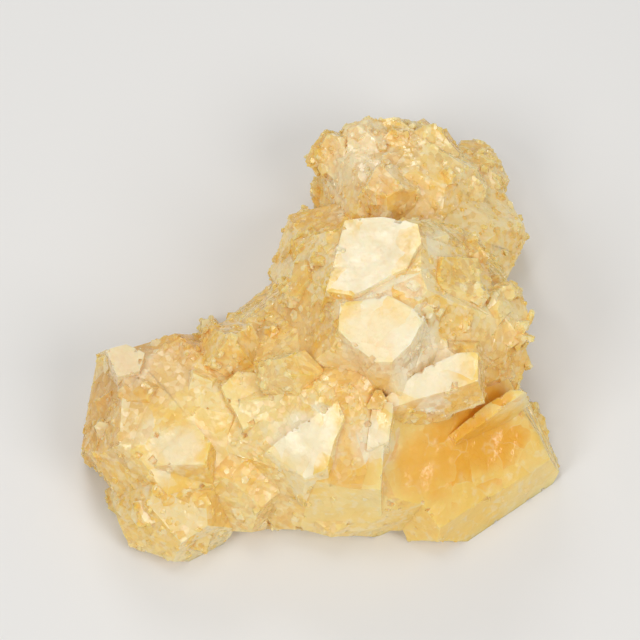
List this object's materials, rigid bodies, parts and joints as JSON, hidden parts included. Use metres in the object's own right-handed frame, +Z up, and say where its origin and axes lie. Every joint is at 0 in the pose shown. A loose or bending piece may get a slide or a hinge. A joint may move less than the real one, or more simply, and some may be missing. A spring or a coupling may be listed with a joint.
{
  "type": "rock sugar lump",
  "caption": "Irregular lump of yellow rock sugar: translucent golden crystals grown into each other, with flat glassy faces, granular flanks and a flat broken base to rest on.",
  "frame": {"origin": "middle of the bounding box's bottom, in the plane of the flat underside", "axes": "+Z up from the flat underside, +X to the right and +Y away from the viewer as pictured"},
  "size_m": [0.0568, 0.057, 0.0262],
  "materials": {
    "rock_sugar": "translucent golden sugar, glossy on clean crystal faces and frosted where granular"
  },
  "bodies": {
    "root": {"lump": "rock_sugar"}
  },
  "joints": []
}
